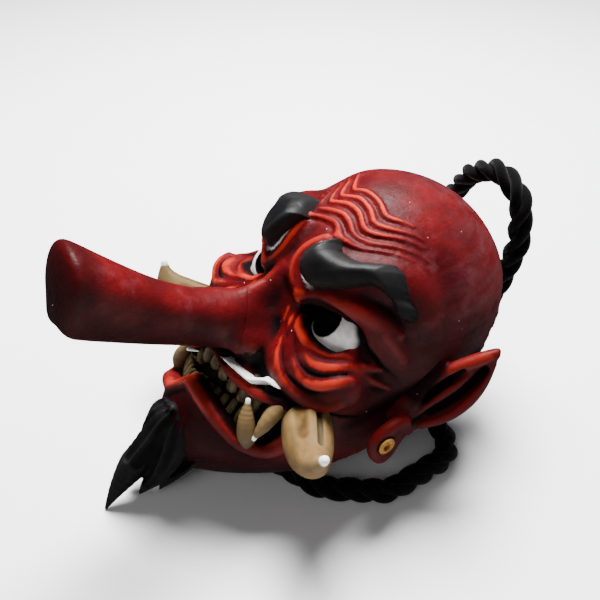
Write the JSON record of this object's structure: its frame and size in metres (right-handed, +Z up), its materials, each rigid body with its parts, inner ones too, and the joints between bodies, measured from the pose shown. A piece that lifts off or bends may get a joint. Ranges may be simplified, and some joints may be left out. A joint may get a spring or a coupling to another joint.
{
  "type": "long-nosed goblin mask",
  "caption": "Small decorative goblin mask with a long upturned nose, tusks, fangs, pointed ears with eyelets, a beard and a swinging twisted hanging cord.",
  "frame": {"origin": "on the table, in the middle of the whole part's footprint, cords included", "axes": "+Z up from the table, -Y the way the nose points over the table, +X the wearer's left"},
  "size_m": [0.108, 0.1598, 0.0985],
  "materials": {
    "red_shell": "satin crimson paint over cast resin, black washed recesses and orange dry-brushed ridges",
    "black_hair": "satin black paint on sculpted hair",
    "ivory_paint": "off-white satin paint",
    "tooth": "yellowed ivory with a dark wash between the teeth",
    "tusk": "aged ochre horn with white tips",
    "brass": "polished brass",
    "cord": "black velvet cord, three strands twisted",
    "dowel": "plain wire pins"
  },
  "bodies": {
    "mask": {"face_shell": "red_shell", "nose": "red_shell", "nose_dowel": "dowel", "brow_left": "black_hair", "brow_right": "black_hair", "moustache_left": "ivory_paint", "moustache_right": "ivory_paint", "eye_left": "ivory_paint", "eye_right": "ivory_paint", "upper_teeth": "tooth", "lower_teeth": "tooth", "upper_fang_left": "tusk", "upper_fang_right": "tusk", "lower_fang_left": "tusk", "lower_fang_right": "tusk", "tusk_left": "tusk", "tusk_right": "tusk", "tusk_pins": "dowel", "ear_left": "red_shell", "ear_right": "red_shell", "ear_pins": "dowel", "eyelet_left": "brass", "eyelet_right": "brass", "beard": "black_hair", "beard_peg": "dowel", "tie_cord": "cord"},
    "hanging_loop": {"hanging_cord": "cord"}
  },
  "joints": [
    {"name": "hanging_loop_swing", "type": "hinge", "parent": "mask", "child": "hanging_loop", "pos_m": [0, 0.01675, 0.0407], "axis": [-1, 0, 0], "range_deg": [0, 48], "stiffness_Nm_per_rad": 0.02}
  ]
}
